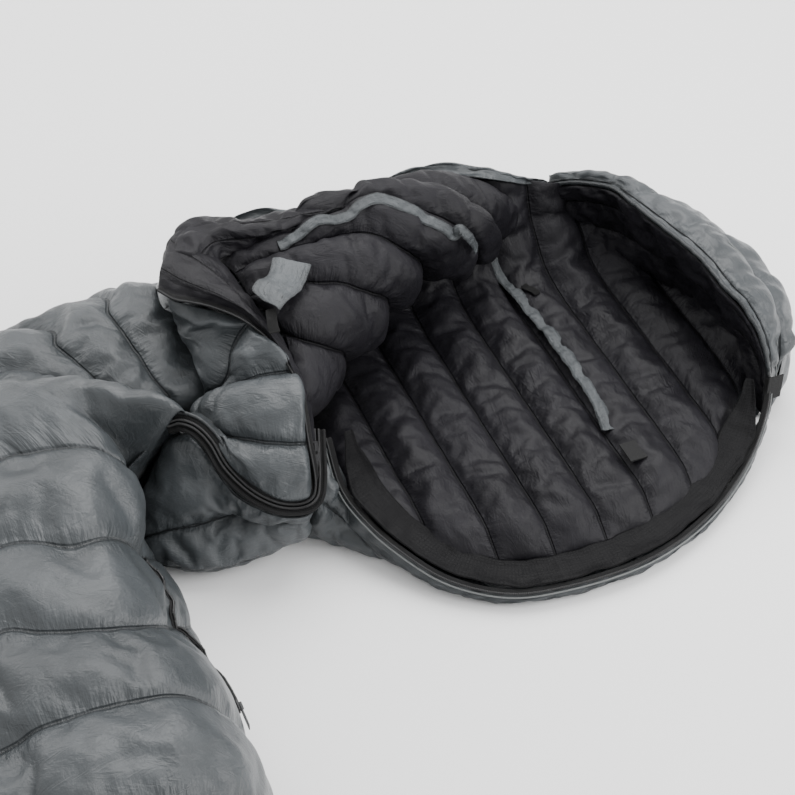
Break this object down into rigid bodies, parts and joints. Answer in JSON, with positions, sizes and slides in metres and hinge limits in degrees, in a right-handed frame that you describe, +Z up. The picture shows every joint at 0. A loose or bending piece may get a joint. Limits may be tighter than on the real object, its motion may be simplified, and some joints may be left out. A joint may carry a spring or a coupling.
{
  "type": "mummy sleeping bag",
  "caption": "Down mummy sleeping bag lying bent at the knees, unzipped with its quilted torso flap thrown back to show the black lining, hood and draft tape.",
  "frame": {"origin": "middle of the bag's box, on the floor it lies on", "axes": "+X along the torso towards the hood, +Y towards the unzipped side's opposite edge, the legs run along -Y, +Z up"},
  "size_m": [1.264, 1.3578, 0.255],
  "materials": {
    "grey_nylon": "satin woven nylon",
    "black_taffeta": "shiny woven taffeta",
    "down_fill": "loose down, hidden",
    "ripstop_band": "matte ripstop grid",
    "zip_tape": "matte woven tape",
    "zip_coil": "semi-gloss",
    "slider_metal": "dark enamel",
    "grey_tape": "satin",
    "hook_and_loop": "matte pile"
  },
  "bodies": {
    "bag": {"shell_torso": "grey_nylon", "shell_knee_bottom": "grey_nylon", "shell_leg_bottom": "grey_nylon", "shell_upper": "grey_nylon", "shell_foot": "grey_nylon", "shell_hood": "grey_nylon", "hood_rim": "grey_nylon", "hood_cord_sleeve": "grey_nylon", "lining_torso": "black_taffeta", "lining_knee_bottom": "black_taffeta", "lining_leg_bottom": "black_taffeta", "lining_upper": "black_taffeta", "lining_hood": "black_taffeta", "draft_tube_knee": "black_taffeta", "draft_tube_leg": "black_taffeta", "down_torso_1": "down_fill", "down_torso_2": "down_fill", "down_torso_3": "down_fill", "down_torso_4": "down_fill", "down_torso_5": "down_fill", "down_torso_6": "down_fill", "down_torso_7": "down_fill", "down_torso_8": "down_fill", "down_knee_bottom": "down_fill", "down_leg_bottom": "down_fill", "down_fold_upper": "down_fill", "down_knee_upper": "down_fill", "down_leg_upper": "down_fill", "down_foot": "down_fill", "down_hood_wall": "down_fill", "down_hood_visor": "down_fill", "down_hood_floor": "down_fill", "wall_torso": "down_fill", "wall_knee": "down_fill", "wall_leg": "down_fill", "stiffener_band": "ripstop_band", "label_tag": "ripstop_band", "zip_tape_closed": "zip_tape", "zip_tape_open": "zip_tape", "zip_coil_closed": "zip_coil", "zip_coil_open": "zip_coil", "collar_tape": "grey_tape"},
    "flap": {"shell_flap": "grey_nylon", "down_flap_1": "down_fill", "down_flap_2": "down_fill", "down_flap_3": "down_fill", "down_flap_4": "down_fill", "down_flap_5": "down_fill", "lining_flap": "black_taffeta", "zip_tape_flap": "zip_tape", "zip_coil_flap": "zip_coil", "collar_tape_flap": "grey_tape"},
    "flap_grip": {"flap_grip_tab": "grey_tape", "flap_grip_patch": "hook_and_loop"},
    "slider_upper": {"slider_upper": "slider_metal"},
    "pull_upper": {"pull_upper": "slider_metal"},
    "slider_lower": {"slider_lower": "slider_metal"},
    "pull_lower": {"pull_lower": "slider_metal"},
    "collar_hook": {"collar_hook_tab": "hook_and_loop"},
    "hood_hook": {"hood_hook_tab": "hook_and_loop"}
  },
  "joints": [
    {"name": "flap_fold", "type": "hinge", "parent": "bag", "child": "flap", "pos_m": [-0.06087, 0.3349, 0.171], "axis": [0.7859, 0.6184, 0], "range_deg": [0, 155]},
    {"name": "flap_grip_lift", "type": "hinge", "parent": "flap", "child": "flap_grip", "pos_m": [0.01836, 0.51559, 0.2528], "axis": [-0.8181, 0.575, 0], "range_deg": [0, 38]},
    {"name": "slider_upper_run", "type": "slide", "parent": "bag", "child": "slider_upper", "axis": [-0.1585, -0.6657, -0.7292], "range_m": [0, 0.022]},
    {"name": "pull_upper_turn", "type": "hinge", "parent": "slider_upper", "child": "pull_upper", "pos_m": [-0.03427, 0.28896, 0.14923], "axis": [-0.9874, 0.1064, 0.1175], "range_deg": [0, 150]},
    {"name": "slider_lower_run", "type": "slide", "parent": "bag", "child": "slider_lower", "axis": [0, 1, 0], "range_m": [0, 0.1]},
    {"name": "pull_lower_turn", "type": "hinge", "parent": "slider_lower", "child": "pull_lower", "pos_m": [-0.21074, 0.04454, 0.056], "axis": [0, 0, 1], "range_deg": [0, 150]},
    {"name": "collar_hook_lift", "type": "hinge", "parent": "bag", "child": "collar_hook", "pos_m": [0.34496, 0.24224, 0.0608], "axis": [-1, 0, 0], "range_deg": [0, 160]},
    {"name": "hood_hook_lift", "type": "hinge", "parent": "bag", "child": "hood_hook", "pos_m": [0.54696, 0.24704, 0.095], "axis": [-1, 0, 0], "range_deg": [0, 110]}
  ]
}
